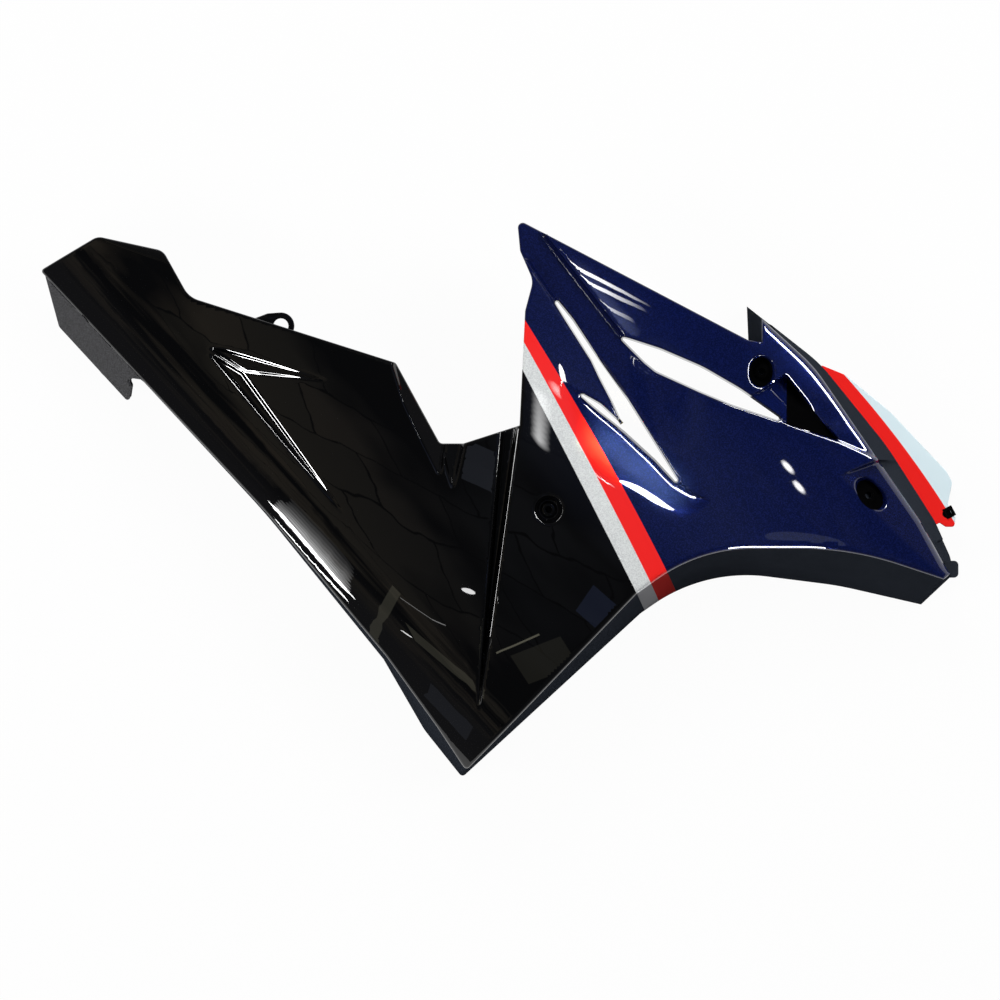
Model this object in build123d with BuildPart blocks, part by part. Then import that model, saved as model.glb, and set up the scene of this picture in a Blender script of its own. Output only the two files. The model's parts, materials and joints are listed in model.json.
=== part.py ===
"""Right-hand side fairing panel of a sport motorcycle, lying with its painted face up.

The frame has its origin on the seat of the main fixing bolt, +X along the panel towards the
front wheel, +Y towards the top edge and +Z out of the painted face. All sizes are millimetres.
"""

import os
from math import asin, atan2, cos, degrees, radians, sin, sqrt

from build123d import *

# Moulding
wall = 3.0
crest_height = 12.0
floor_level = -125.0
skirt_top = 20.0
cavity_overrun = 15.0
lip_depth = 16.0
slit_lip_depth = 22.0
relief_margin = 2.5
tail_flange_drop = 1.5
prism_reach = 400.0

# Crown of the painted face, a barrel whose long axis runs along the belly edge
belly_heading = -47.5
crown_radius_along = 2600.0
crown_radius_across = 900.0
crown_radius_belly = 130.0
belly_roll_start = 160.0
belly_roll_end_angle = 78.0
crown_reach_across = 360.0
crown_start_angle = -13.5
crown_span_angle = 23.0
crown_body_depth = 320.0

# Fixing points
seat_ring_radius = 8.0
seat_ring_height = 2.0
bolt_hole_radius = 3.3
recess_draft = 10.0
recess_reach = 60.0
hole_overrun = 5.0
main_recess_radius = 10.8
upper_bolt_at = (213.5, 138.0)
upper_recess_depth = 13.0
upper_recess_length = 27.0
upper_recess_width = 20.0
front_bolt_along = 27.5
front_bolt_across = 13.0
front_recess_depth = 9.0
front_recess_length = 35.0
front_recess_width = 22.0

# Rear eyelet lug and lower front lug
lug_thickness = 4.0
rear_lug_at = (-267.5, 183.5)
rear_lug_radius = 13.5
rear_lug_hole_radius = 7.5
rear_lug_depth = 9.0
rear_lug_clearance = 2.5
front_lug_at = (407.0, -58.0)
front_lug_length = 15.0
front_lug_width = 17.0
front_lug_margin = 4.6
front_lug_shift = 1.8
front_lug_corner = 4.5
front_lug_hole_radius = 1.6
front_lug_depth = 10.0

# Front flange, the nose panel behind it and what holds that panel
front_flange_depth = 45.0
nose_seat_gap = 0.1
nose_thickness = 2.5
screw_points = [(280.0, 106.0), (323.0, 52.0), (360.0, -5.0)]
boss_radius = 5.0
boss_reach = 80.0
screw_radius = 1.95
pilot_clearance = 0.05
pilot_depth = 14.0
screw_length = 15.0
nose_hole_clearance = 0.4
screw_head_radius = 4.5
screw_head_height = 2.6
head_seat_gap = 0.05

# Clip nut on the nose panel's tab
clip_length = 11.0
clip_reach = 9.0
clip_sheet = 0.8
clip_play = 0.1
clip_fold_gap = 0.9
clip_hole_inset = 4.5
clip_hole_radius = 3.0
clip_collar_radius = 4.4
clip_collar_height = 4.0
clip_thread_radius = 2.5
tab_hole_radius = 3.4

# Outline of the panel, clockwise from the tail tip. Each corner gives the edge of the painted
# face, the foot of the flange below it, and the two corner radii.
OUTLINE = [
    ((-509.5, 239.5), (-509.5, 239.5), 3, 3),
    ((-451.5, 273.5), (-451.5, 273.5), 14, 14),
    ((-385.5, 259.0), (-385.5, 259.0), 14, 14),
    ((-359.5, 212.5), (-359.5, 212.5), 25, 25),
    ((-152.5, 146.5), (-152.5, 146.5), 5, 5),
    ((-108.5, 66.0), (-108.5, 66.0), 5, 5),
    ((-85.0, 66.0), (-85.0, 66.0), 0, 0),
    ((-29.0, 84.0), (-29.0, 84.0), 0, 0),
    ((-23.5, 198.5), (-23.5, 198.5), 14, 14),
    ((-15.5, 228.5), (-15.5, 228.5), 20, 20),
    ((-28.5, 258.5), (-28.5, 258.5), 10, 10),
    ((-31.5, 290.5), (-31.5, 290.5), 5, 5),
    ((199.5, 169.5), (199.5, 169.5), 0, 0),
    ((213.5, 167.5), (201.0, 168.5), 0, 0),
    ((213.5, 190.5), (199.5, 204.0), 0, 0),
    ((265.5, 143.5), (272.5, 146.5), 150, 150),
    ((327.5, 53.5), (339.5, 63.5), 250, 250),
    ((372.5, -11.5), (387.5, -11.5), 60, 60),
    ((396.0, -55.0), (404.5, -49.0), 25, 25),
    ((402.5, -64.5), (405.5, -66.5), 0, 0),
    ((395.5, -70.0), (374.5, -95.5), 0, 0),
    ((301.5, -39.0), (291.5, -76.5), 324, 400),
    ((151.5, -39.0), (157.5, -59.5), 165, 110),
    ((87.5, -84.5), (92.5, -104.5), 20, 20),
    ((-82.5, -261.5), (-86.5, -270.5), 4, 6),
    ((-111.5, -217.5), (-124.5, -221.5), 60, 60),
    ((-162.5, -146.5), (-165.5, -150.5), 0, 0),
    ((-282.5, -2.5), (-284.0, -4.0), 700, 700),
]

# Sunk features of the painted face: a clockwise outline, then three floor points with their
# depth below the crown
SUNK = {
    "vent_channel": (
        [(-45, 296), (-11.5, 284), (75.5, 171.5), (118, 134), (141, 30), (-1.5, 221), (-20, 248), (-45, 260)],
        [(-15, 255, 9), (70, 185, 12), (120, 60, 0)],
    ),
    "vent_roll": (
        [(11.5, 137.5), (26.5, 119.5), (134.5, 19.5), (152, -4), (51.5, 31.5), (7.5, 104.5)],
        [(26.5, 119.5, 8), (134.5, 19.5, 8), (62, 42, 0)],
    ),
    "scoop": (
        [(201.5, 112.5), (237.5, 134.5), (290.5, 68.5), (239.5, 85.5)],
        [(201.5, 112.5, 2), (245, 120, 20), (285, 72, 16)],
    ),
    "fin_foot": (
        [(289.5, 68.5), (266, 100), (318, 100), (352, 58), (331, 50)],
        [(289.5, 68.5, 6), (330.5, 50.5, 6), (300, 104, 0)],
    ),
    "front_slope": (
        [(290, 33), (332.5, 49.5), (356, 52), (418, -62), (400, -80)],
        [(297.5, 27.5, 0), (395.5, -66.5, 0), (345, 42, 20)],
    ),
    "upper_arrow": (
        [(-337.5, 161), (-325.5, 159.5), (-218.5, 128.5), (-302.5, 138)],
        [(-325.5, 159.5, 5), (-302.5, 138, 5), (-218.5, 128.5, 0)],
    ),
    "lower_arrow": (
        [(-337.5, 155), (-306.5, 136.5), (-201.5, -8.5)],
        [(-337.5, 155, 5), (-306.5, 136.5, 5), (-201.5, -8.5, 0)],
    ),
    "long_groove": (
        [(-45.5, 88), (-31, 88), (-70.5, -202.5)],
        [(-45.5, 85, 9), (-31, 85, 9), (-70.5, -202.5, 0)],
    ),
    "notch_groove": (
        [(-109.5, 73.5), (-83.5, 73.5), (-95.5, 19.5)],
        [(-109.5, 73.5, 10), (-83.5, 73.5, 10), (-95.5, 19.5, 0)],
    ),
    "notch_facet": (
        [(-155, 145.5), (-144.5, 152), (-103, 76), (-106.5, 43.5), (-109.5, 33.5), (-128.5, 63.5), (-142.5, 100.5)],
        [(-142.5, 100.5, 0), (-109.5, 33.5, 0), (-120, 85, 10)],
    ),
    "tail_bevel": (
        [(-444.5, 269.5), (-444.5, 281), (-366, 268), (-368, 232), (-377.5, 233.5), (-388.5, 248.5)],
        [(-444.5, 269.5, 0), (-388.5, 248.5, 0), (-380, 262, 6)],
    ),
}

# Gill slits, right through the panel: an arrowhead with a pointed vane, and a leaf
VENT_SLIT = [
    (-2.5, 221.5), (134.5, 20.5), (41.5, 104.5), (22.5, 123.5),
    (51.5, 104.5), (75.5, 83.5), (51.5, 137.5), (11.5, 197.5),
]
UPPER_SLIT_ENDS = [(71.5, 172.5), (239.5, 85.5)]
UPPER_SLIT_TOP = (157.0, 139.0)
UPPER_SLIT_TURN = (97.0, 147.5)
UPPER_SLIT_LOW = (170.0, 109.5)

# Tail flange, a raw plate that slopes from the belly edge to the surface that the panel lies on
TAIL_FLANGE = [
    (-403.5, 129.5), (-421.0, 132.0), (-417.5, 123.5), (-420.5, 106.5), (-491.5, 183.5), (-505.5, 238.0),
]
TAIL_FLANGE_RADII = [0, 3, 2, 3, 8, 0]
tail_foot_corner = 4

# Rear lug's plate with its gusset under the top edge
REAR_LUG = [(-302.5, 196.5), (-271.5, 197.0), (-254.0, 183.5), (-256.0, 172.0), (-300.0, 178.0)]

# Nose panel, seen from the painted face, with its tab between corners 5 and 8
NOSE = [
    (274.5, 144.5), (298, 135), (343.5, 97.5), (399.5, 38.5), (405.5, 27.5), (401, 5.5),
    (408.5, -8.5), (407.5, -17.5), (398.5, -17.5), (392.5, -13.5), (362.5, -28), (249, 126),
]
NOSE_RADII = [0, 3, 60, 8, 8, 0, 0, 3, 3, 0, 0, 0]
CLIP_EDGE = (NOSE[5], NOSE[6])

# Bands where the skirt under the edge of the face is cut back
UPPER_RELIEF_CORNERS = 13
UPPER_RELIEF_FAR = [(197.0, 420.0), (-700.0, 420.0)]
TAIL_RELIEF = [(-530.0, 250.0), (-498.0, 250.0), (-396.0, 136.0), (-416.0, 116.0)]
FRONT_RELIEF = [
    (238.0, 200.0), (430.0, 200.0), (430.0, -16.0), (388.0, -16.0),
    (352.0, -40.0), (300.0, 45.0), (262.0, 105.0), (225.0, 160.0),
]

along = Vector(cos(radians(belly_heading)), sin(radians(belly_heading)), 0)
across = Vector(-along.Y, along.X, 0)
crown_axis = Axis((0, 0, crest_height - crown_radius_along), across)
roll_angle = degrees(asin(belly_roll_start / crown_radius_across))


def turned(angle):
    """Unit vector of the crown's cross section, turned from straight up towards the belly."""
    return Vector(-sin(radians(angle)), cos(radians(angle)))


def crown_section(depth, angle):
    """Point of the crown's cross section, lowered by a depth, at an angle from its crest."""
    middle = Vector(0, -crown_radius_across)
    if angle <= roll_angle:
        return middle + turned(angle) * (crown_radius_across - depth)
    middle += turned(roll_angle) * (crown_radius_across - crown_radius_belly)
    return middle + turned(angle) * (crown_radius_belly - depth)


def crown_z(x, y, depth=0.0):
    """Height of the crown, or of the surface at a depth below it, over a plan point."""
    u = along.X * x + along.Y * y
    v = across.X * x + across.Y * y
    middle = Vector(0, -crown_radius_across)
    radius = crown_radius_across - depth
    if v < crown_section(depth, roll_angle).X:
        middle += turned(roll_angle) * (crown_radius_across - crown_radius_belly)
        radius = crown_radius_belly - depth
    rise = middle.Y + sqrt(radius**2 - (v - middle.X) ** 2)
    return sqrt((crown_radius_along + rise) ** 2 - u**2) - crown_radius_along + crest_height


def crown_plane(x, y, depth, heading=0.0):
    """Plane on the surface at a depth below the crown, facing out, with x along a heading."""
    step = 1.0
    slope_x = (crown_z(x + step, y, depth) - crown_z(x - step, y, depth)) / (2 * step)
    slope_y = (crown_z(x, y + step, depth) - crown_z(x, y - step, depth)) / (2 * step)
    run = Vector(cos(radians(heading)), sin(radians(heading)), 0)
    x_dir = run + Vector(0, 0, run.X * slope_x + run.Y * slope_y)
    return Plane(origin=(x, y, crown_z(x, y, depth)), x_dir=x_dir, z_dir=(-slope_x, -slope_y, 1))


def crown_body(depth):
    """Solid under the crown, lowered by a depth along its normal."""
    start = Vector(0, 0, 1) * cos(radians(crown_start_angle)) + along * sin(radians(crown_start_angle))
    profile_plane = Plane(origin=crown_axis.position, x_dir=across, z_dir=across.cross(start))
    far_angle = -degrees(asin(crown_reach_across / crown_radius_across))
    roll_middle = (roll_angle + belly_roll_end_angle) / 2
    lift = Vector(0, crown_radius_along)
    face_arc = [crown_section(depth, angle) + lift for angle in (far_angle, 0, roll_angle)]
    belly_arc = [crown_section(depth, angle) + lift for angle in (roll_middle, belly_roll_end_angle)]
    low = crown_radius_along - crown_body_depth
    with BuildPart() as body:
        with BuildSketch(profile_plane):
            with BuildLine():
                ThreePointArc(*face_arc)
                ThreePointArc(face_arc[2], *belly_arc)
                Polyline(belly_arc[1], (belly_arc[1].X, low), (face_arc[0].X, low), face_arc[0])
            make_face()
        revolve(axis=crown_axis, revolution_arc=crown_span_angle)
    return body.part


def prism(points, radius=0.0):
    """Upright prism on a plan outline, through the whole height of the part."""
    with BuildPart() as body:
        with BuildSketch(Plane.XY.offset(-prism_reach)):
            with BuildLine():
                FilletPolyline(*points, radius=radius, close=True)
            make_face()
        extrude(amount=2 * prism_reach)
    return body.part


def pin(plane, radius, below, above):
    """Cylinder along a plane's normal, from a depth below the plane to a height above it."""
    with BuildPart() as body:
        with BuildSketch(plane.offset(-below)):
            Circle(radius)
        extrude(amount=below + above)
    return body.part


def inset_outline(points, distance):
    """Outline moved inwards by a distance, for points that go round clockwise."""
    moved = []
    for index, point in enumerate(points):
        before = Vector(*points[index - 1])
        here = Vector(*point)
        after = Vector(*points[(index + 1) % len(points)])
        first = (here - before).normalized()
        second = (after - here).normalized()
        first_normal = Vector(first.Y, -first.X)
        second_normal = Vector(second.Y, -second.X)
        mitre = (first_normal + second_normal) * (distance / (1 + first_normal.dot(second_normal)))
        moved.append((here.X + mitre.X, here.Y + mitre.Y))
    return moved


def hollow_corners(points):
    """For each corner of a clockwise outline, whether it turns inwards."""
    hollow = []
    for index, point in enumerate(points):
        before = Vector(*points[index - 1])
        here = Vector(*point)
        after = Vector(*points[(index + 1) % len(points)])
        hollow.append((here - before).cross(after - here).Z > 0)
    return hollow


def inset_radii(column, inset):
    """Corner radii of the outline after it is moved in, with sharp corners left sharp."""
    radii = []
    for corner, hollow in zip(OUTLINE, hollow_corners([corner[0] for corner in OUTLINE])):
        radius = corner[column] + inset if hollow else max(corner[column] - inset, 0.5)
        radii.append(radius if corner[column] > 0 else 0)
    return radii


def skirt(inset, low):
    """Body inside the flanges: splayed from foot to edge, then upright through the crown."""
    face_edge = [corner[0] for corner in OUTLINE]
    edge = inset_outline(face_edge, inset)
    foot = inset_outline([corner[1] for corner in OUTLINE], inset)
    heights = [crown_z(*corner, inset) for corner in face_edge]
    bottom = []
    for edge_point, foot_point, height in zip(edge, foot, heights):
        share = (low - floor_level) / (height - floor_level)
        bottom.append((Vector(*foot_point) * (1 - share) + Vector(*edge_point) * share + Vector(0, 0, low)))
    shoulder = [Vector(x, y, height) for (x, y), height in zip(edge, heights)]
    top = [Vector(x, y, skirt_top) for x, y in edge]
    sections = []
    for points, column in ((bottom, 3), (shoulder, 2), (top, 2)):
        with BuildLine() as section:
            FilletPolyline(*points, radius=inset_radii(column, inset), close=True)
        sections.append(section.wire())
    return Solid.make_loft(sections, ruled=True)


def floor_plane(floor):
    """Plane through three floor points, each given by its plan position and depth below the crown."""
    corners = [Vector(x, y, crown_z(x, y) - depth) for x, y, depth in floor]
    normal = (corners[1] - corners[0]).cross(corners[2] - corners[0])
    if normal.Z < 0:
        normal = normal * -1
    return Plane(origin=corners[0], x_dir=corners[1] - corners[0], z_dir=normal)


def sunk_body(outline, floor, inset):
    """What a sunk feature takes from the body: everything over its floor, grown by the inset."""
    with BuildPart() as body:
        add(prism(inset_outline(outline, -inset)))
        split(bisect_by=floor_plane(floor).offset(-inset), keep=Keep.TOP)
    return body.part


def recess(seat, length, width, inset):
    """Drafted bolt recess round a seat plane, grown by the inset."""
    with BuildPart() as body:
        with BuildSketch(seat.offset(-seat_ring_height - inset)):
            if length > width:
                SlotOverall(length + 2 * inset, width + 2 * inset)
            else:
                Circle(width / 2 + inset)
        extrude(amount=recess_reach, taper=-recess_draft)
    return body.part


def vent_slit(growth):
    """Prism through the arrowhead slit."""
    with BuildPart() as body:
        with BuildSketch(Plane.XY.offset(-prism_reach)):
            Polygon(*VENT_SLIT, align=None)
            if growth > 0:
                offset(amount=growth)
        extrude(amount=2 * prism_reach)
    return body.part


def upper_slit(growth):
    """Prism through the leaf-shaped slit."""
    with BuildPart() as body:
        with BuildSketch(Plane.XY.offset(-prism_reach)):
            with BuildLine():
                ThreePointArc(UPPER_SLIT_ENDS[0], UPPER_SLIT_TOP, UPPER_SLIT_ENDS[1])
                ThreePointArc(UPPER_SLIT_ENDS[1], UPPER_SLIT_LOW, UPPER_SLIT_TURN)
                Line(UPPER_SLIT_TURN, UPPER_SLIT_ENDS[0])
            make_face()
            if growth > 0:
                offset(amount=growth)
        extrude(amount=2 * prism_reach)
    return body.part


def envelope(inset, low):
    """The panel as a full body, with its faces moved in by an inset."""
    with BuildPart() as body:
        add(skirt(inset, low))
        add(crown_body(inset), mode=Mode.INTERSECT)
        for outline, floor in SUNK.values():
            add(sunk_body(outline, floor, inset), mode=Mode.SUBTRACT)
    return body.part


def below_crown(outline, depth, radius=0.0):
    """Everything deeper than a depth below the crown, inside a plan outline."""
    with BuildPart() as body:
        add(prism(outline, radius))
        add(crown_body(depth), mode=Mode.INTERSECT)
    return body.part


def layer(outline, radius, top_depth, thickness):
    """Sheet that follows the crown at a depth below it, cut to a plan outline."""
    with BuildPart() as sheet:
        add(below_crown(outline, top_depth, radius))
        add(crown_body(top_depth + thickness), mode=Mode.SUBTRACT)
    return sheet.part


# Seats of the three fixing bolts
main_seat = Plane.XY
upper_seat = Plane(
    origin=(*upper_bolt_at, crown_z(*upper_bolt_at) - upper_recess_depth + seat_ring_height),
    x_dir=(0, 1, 0),
    z_dir=(0, 0, 1),
)
front_facet = floor_plane(SUNK["front_slope"][1])
front_seat = Plane(
    origin=front_facet.from_local_coords(
        (front_bolt_along, front_bolt_across, seat_ring_height - front_recess_depth)
    ),
    x_dir=front_facet.x_dir,
    z_dir=front_facet.z_dir,
)
RECESSES = [
    (main_seat, 2 * main_recess_radius, 2 * main_recess_radius),
    (upper_seat, upper_recess_length, upper_recess_width),
    (front_seat, front_recess_length, front_recess_width),
]

os.makedirs("parts", exist_ok=True)

# Main panel
with BuildPart() as outer:
    add(envelope(0.0, floor_level))
    for seat, length, width in RECESSES:
        add(recess(seat, length, width, 0.0), mode=Mode.SUBTRACT)
cavity = envelope(wall, floor_level - cavity_overrun)

with BuildPart() as slit_room:
    add(vent_slit(wall))
    add(upper_slit(wall))
    add(crown_body(slit_lip_depth), mode=Mode.SUBTRACT)

tail_corners = [
    Vector(*TAIL_FLANGE[0], crown_z(*TAIL_FLANGE[0]) - tail_flange_drop),
    Vector(*TAIL_FLANGE[tail_foot_corner], floor_level),
    Vector(*TAIL_FLANGE[-1], crown_z(*TAIL_FLANGE[-1]) - tail_flange_drop),
]
tail_plane = Plane(
    origin=tail_corners[0],
    x_dir=tail_corners[2] - tail_corners[0],
    z_dir=(tail_corners[2] - tail_corners[0]).cross(tail_corners[1] - tail_corners[0]),
)
tail_outline = []
for x, y in TAIL_FLANGE:
    drop = tail_plane.z_dir.dot(tail_plane.origin - Vector(x, y, 0)) / tail_plane.z_dir.Z
    on_plate = tail_plane.to_local_coords(Vector(x, y, drop))
    tail_outline.append((on_plate.X, on_plate.Y))
with BuildPart() as tail_flange:
    with BuildSketch(tail_plane):
        with BuildLine():
            FilletPolyline(*tail_outline, radius=TAIL_FLANGE_RADII, close=True)
        make_face()
    extrude(amount=-wall)
    split(bisect_by=Plane.XY.offset(floor_level), keep=Keep.TOP)

rear_lug_plane = Plane(origin=(*rear_lug_at, crown_z(*rear_lug_at) - rear_lug_depth))
rear_lug_below = lug_thickness + hole_overrun
with BuildPart() as rear_lug:
    with BuildSketch(Plane.XY.offset(rear_lug_plane.origin.Z)):
        Polygon(*REAR_LUG, align=None)
        with Locations(rear_lug_at):
            Circle(rear_lug_radius)
    extrude(amount=-lug_thickness)

front_lug_plane = Plane(origin=(*front_lug_at, crown_z(*front_lug_at) - front_lug_depth))
with BuildPart() as front_lug:
    with BuildSketch(front_lug_plane):
        with Locations((front_lug_margin - front_lug_length / 2, -front_lug_shift)):
            RectangleRounded(front_lug_length, front_lug_width, front_lug_corner)
    extrude(amount=-lug_thickness)

screw_planes = [crown_plane(x, y, front_flange_depth) for x, y in screw_points]
with BuildPart() as bosses_and_cups:
    for plane in screw_planes:
        add(pin(plane, boss_radius, 0, boss_reach))
    for seat, length, width in RECESSES:
        add(recess(seat, length, width, wall))
    add(outer.part, mode=Mode.INTERSECT)

relief_edge = inset_outline([corner[0] for corner in OUTLINE], wall + relief_margin)
with BuildPart() as main_panel:
    add(outer.part)
    with BuildPart(mode=Mode.PRIVATE) as room:
        add(cavity)
        add(slit_room.part, mode=Mode.SUBTRACT)
    add(room.part, mode=Mode.SUBTRACT)
    add(below_crown(relief_edge[:UPPER_RELIEF_CORNERS] + UPPER_RELIEF_FAR, lip_depth), mode=Mode.SUBTRACT)
    add(below_crown(TAIL_RELIEF, lip_depth), mode=Mode.SUBTRACT)
    add(below_crown(FRONT_RELIEF, front_flange_depth), mode=Mode.SUBTRACT)
    add(bosses_and_cups.part)
    add(tail_flange.part)
    add(
        pin(rear_lug_plane, rear_lug_hole_radius + rear_lug_clearance, rear_lug_below, lug_thickness),
        mode=Mode.SUBTRACT,
    )
    add(rear_lug.part)
    add(front_lug.part)
    for seat, length, width in RECESSES:
        add(pin(seat, seat_ring_radius, seat_ring_height + wall / 2, 0))
        add(pin(seat, bolt_hole_radius, seat_ring_height + wall + hole_overrun, hole_overrun), mode=Mode.SUBTRACT)
    add(vent_slit(0), mode=Mode.SUBTRACT)
    add(upper_slit(0), mode=Mode.SUBTRACT)
    for plane in screw_planes:
        add(pin(plane, screw_radius + pilot_clearance, hole_overrun, pilot_depth), mode=Mode.SUBTRACT)
    add(pin(front_lug_plane, front_lug_hole_radius, lug_thickness + hole_overrun, hole_overrun), mode=Mode.SUBTRACT)
    add(pin(rear_lug_plane, rear_lug_hole_radius, rear_lug_below, lug_thickness), mode=Mode.SUBTRACT)
main_panel.part.label = "main_panel"
export_step(main_panel.part, "parts/main_panel.step")

# Nose panel
nose_depth = front_flange_depth + nose_seat_gap
clip_middle = (Vector(*CLIP_EDGE[0]) + Vector(*CLIP_EDGE[1])) / 2
clip_run = Vector(*CLIP_EDGE[1]) - Vector(*CLIP_EDGE[0])
clip_plane = crown_plane(
    clip_middle.X, clip_middle.Y, nose_depth + nose_thickness / 2, degrees(atan2(clip_run.Y, clip_run.X))
)
clip_hole_plane = Plane(
    origin=clip_plane.from_local_coords((0, -clip_hole_inset, 0)), x_dir=clip_plane.x_dir, z_dir=clip_plane.z_dir
)
with BuildPart() as nose_panel:
    add(layer(NOSE, NOSE_RADII, nose_depth, nose_thickness))
    for plane in screw_planes:
        add(pin(plane, screw_radius + nose_hole_clearance, hole_overrun, hole_overrun), mode=Mode.SUBTRACT)
    add(pin(clip_hole_plane, tab_hole_radius, hole_overrun, hole_overrun), mode=Mode.SUBTRACT)
nose_panel.part.label = "nose_panel"
export_step(nose_panel.part, "parts/nose_panel.step")

# Screws that hold the nose panel under the front flange
head_seat = nose_seat_gap + nose_thickness + head_seat_gap
with BuildPart() as nose_panel_screws:
    for plane in screw_planes:
        add(pin(plane.offset(-head_seat), screw_head_radius, screw_head_height, 0))
        add(pin(plane.offset(-head_seat), screw_radius, screw_head_height, screw_length))
nose_panel_screws.part.label = "nose_panel_screws"
export_step(nose_panel_screws.part, "parts/nose_panel_screws.step")

# Clip nut
clip_room = nose_thickness / 2 + clip_play
clip_half = clip_room + clip_sheet
clip_back = clip_fold_gap + clip_sheet
with BuildPart() as clip_nut:
    with BuildSketch(Plane(origin=clip_plane.origin, x_dir=clip_plane.y_dir, z_dir=clip_plane.x_dir)):
        Polygon(
            (clip_back, -clip_half), (clip_back, clip_half), (-clip_reach, clip_half), (-clip_reach, clip_room),
            (clip_fold_gap, clip_room), (clip_fold_gap, -clip_room), (-clip_reach, -clip_room),
            (-clip_reach, -clip_half), align=None,
        )
    extrude(amount=clip_length / 2, both=True)
    add(pin(clip_hole_plane.offset(-clip_room), clip_collar_radius, clip_sheet + clip_collar_height, 0))
    add(pin(clip_hole_plane, clip_thread_radius, clip_half + clip_collar_height + hole_overrun, 0), mode=Mode.SUBTRACT)
    add(pin(clip_hole_plane, clip_hole_radius, 0, hole_overrun), mode=Mode.SUBTRACT)
clip_nut.part.label = "clip_nut"
export_step(clip_nut.part, "parts/clip_nut.step")
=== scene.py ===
# %% [markdown]
# # A motorcycle side fairing panel
# The part is one deep moulding of painted plastic, with a second small panel clipped under its front edge.
# The imported CAD model gives the shape and the place of everything, so it is loaded first and never moved.
# The finished pieces have to stay inside it.

import json
import math

import bpy
import numpy as np
from mathutils import Matrix, Vector
from mathutils.bvhtree import BVHTree
from mathutils.geometry import delaunay_2d_cdt
from mathutils.kdtree import KDTree


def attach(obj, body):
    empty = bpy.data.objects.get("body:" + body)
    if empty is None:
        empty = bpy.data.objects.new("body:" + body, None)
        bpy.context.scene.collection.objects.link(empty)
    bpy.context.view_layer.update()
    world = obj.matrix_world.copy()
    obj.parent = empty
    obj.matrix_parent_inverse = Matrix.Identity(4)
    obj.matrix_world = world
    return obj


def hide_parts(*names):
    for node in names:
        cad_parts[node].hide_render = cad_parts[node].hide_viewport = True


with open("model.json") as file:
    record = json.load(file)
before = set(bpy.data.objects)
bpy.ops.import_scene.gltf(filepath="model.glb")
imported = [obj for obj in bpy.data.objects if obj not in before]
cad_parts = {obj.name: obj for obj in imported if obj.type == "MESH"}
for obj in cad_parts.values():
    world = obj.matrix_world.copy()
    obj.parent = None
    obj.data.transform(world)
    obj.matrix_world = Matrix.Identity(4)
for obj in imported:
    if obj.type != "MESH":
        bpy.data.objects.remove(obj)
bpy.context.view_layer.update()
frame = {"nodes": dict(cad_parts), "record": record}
MM = 0.001
mounts = {mount["name"]: np.array(mount["pos_m"]) / MM for mount in frame["record"]["mounts"]}
print("nodes", sorted(frame["nodes"]), "mounts", sorted(mounts))

# %% [markdown]
# ## Outline of the painted face
# On the real panel the painted face ends in a rolled edge, and a flange goes down from it. The face could
# be cut from a block, but a sheet that is laid over the shape gives softer edges. Each corner has its place
# on the edge of the face and its radius, then the foot of the flange where that lies elsewhere. They go
# clockwise from the tail tip.

# %% Corners in millimetres
OUTLINE = [
    (-509.5, 239.5, 3), (-451.5, 273.5, 14), (-385.5, 259.0, 14), (-359.5, 212.5, 25), (-152.5, 146.5, 5),
    (-108.5, 66.0, 5), (-85.0, 66.0, 0), (-29.0, 84.0, 0), (-23.5, 198.5, 14), (-15.5, 228.5, 20),
    (-28.5, 258.5, 10), (-31.5, 290.5, 5), (199.5, 169.5, 0), (213.5, 167.5, 0, 201.0, 168.5),
    (213.5, 190.5, 0, 199.5, 204.0), (265.5, 143.5, 150, 272.5, 146.5), (327.5, 53.5, 250, 339.5, 63.5),
    (372.5, -11.5, 60, 387.5, -11.5), (396.0, -55.0, 25, 404.5, -49.0), (402.5, -64.5, 0, 405.5, -66.5),
    (395.5, -70.0, 0, 374.5, -95.5), (301.5, -39.0, 324, 291.5, -76.5), (151.5, -39.0, 165, 157.5, -59.5),
    (87.5, -84.5, 20, 92.5, -104.5), (-82.5, -261.5, 4, -86.5, -269.2), (-111.5, -217.5, 60, -124.5, -221.5),
    (-162.5, -146.5, 0, -165.5, -150.5), (-282.5, -2.5, 700, -284.0, -4.0),
]
VENT_SLIT = [
    (-1.5, 220.5), (23.5, 189.5), (50.0, 149.5), (78.5, 109.5), (103.5, 69.5), (135.5, 18.5), (106.5, 50.5),
    (76.5, 78.0), (51.5, 98.0), (26.5, 119.0), (51.5, 104.5), (75.5, 82.5), (64.5, 107.5), (51.5, 132.5),
    (43.5, 149.5), (18.0, 189.5),
]
UPPER_SLIT = [
    (71.5, 172.5), (111.5, 159.5), (153.5, 141.5), (191.5, 119.5), (238.5, 86.5),
    (182.5, 105.5), (151.5, 118.5), (107.5, 138.5), (96.5, 147.5),
]
SLIT_RADII = [1.0, 60, 60, 60, 60, 1.2, 40, 40, 40, 0.8, 30, 1.0, 30, 30, 30, 60]
LEAF_RADII = [1.0, 60, 120, 120, 1.5, 120, 120, 20, 4]


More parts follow.
